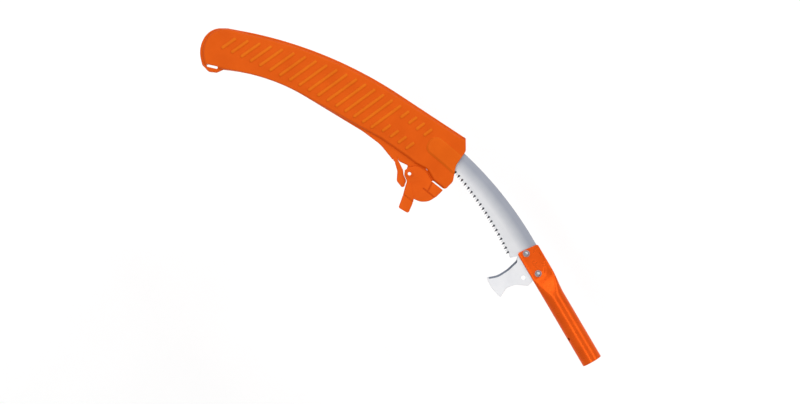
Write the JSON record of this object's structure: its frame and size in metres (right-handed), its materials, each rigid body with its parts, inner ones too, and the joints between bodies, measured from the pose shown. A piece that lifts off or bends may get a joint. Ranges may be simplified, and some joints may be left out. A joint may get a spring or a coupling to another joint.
{
  "type": "telescoping pole saw head",
  "caption": "Curved pruning saw head with a pole socket and sickle hook, half drawn out of a ribbed scabbard with a sprung latch.",
  "frame": {"origin": "centre of the pole socket's mouth, on its axis", "axes": "+X from the socket's mouth towards the blade, +Y towards the teeth and the sickle, +Z towards the front face"},
  "size_m": [0.7019, 0.2913, 0.03],
  "materials": {
    "socket_paint": "glossy orange enamel",
    "saw_steel": "fine ground, satin",
    "zinc_steel": "zinc plated",
    "orange_plastic": "fine moulded grain"
  },
  "bodies": {
    "head": {"pole_socket": "socket_paint", "saw_blade": "saw_steel", "sickle_plate": "saw_steel", "front_clamp_screw": "zinc_steel", "rear_clamp_screw": "zinc_steel", "front_head_washer": "zinc_steel", "rear_head_washer": "zinc_steel", "front_nut_washer": "zinc_steel", "rear_nut_washer": "zinc_steel", "front_lock_nut": "zinc_steel", "rear_lock_nut": "zinc_steel"},
    "scabbard": {"scabbard_front_shell": "orange_plastic", "scabbard_rear_shell": "orange_plastic", "pivot_eyelet": "orange_plastic"},
    "latch": {"latch_front_cheek": "orange_plastic", "latch_rear_cheek": "orange_plastic", "latch_thumb_lever": "orange_plastic"},
    "spring_arm": {"latch_spring_arm": "orange_plastic"}
  },
  "joints": [
    {"name": "scabbard_slide", "type": "hinge", "parent": "head", "child": "scabbard", "pos_m": [0.199, 0.538, 0], "axis": [0, 0, 1], "range_deg": [-21.5, 20.5]},
    {"name": "latch_pivot", "type": "hinge", "parent": "scabbard", "child": "latch", "pos_m": [0.3735, 0.092, 0], "axis": [0, 0, 1], "range_deg": [-24, 0], "stiffness_Nm_per_rad": 0.3, "springref_deg": 11.46},
    {"name": "spring_arm_bend", "type": "hinge", "parent": "scabbard", "child": "spring_arm", "pos_m": [0.402, 0.0985, 0], "axis": [0, 0, 1], "range_deg": [-16, 0]}
  ],
  "couplings": [
    {"joint": "spring_arm_bend", "follows": "latch_pivot", "ratio": 0.6}
  ]
}
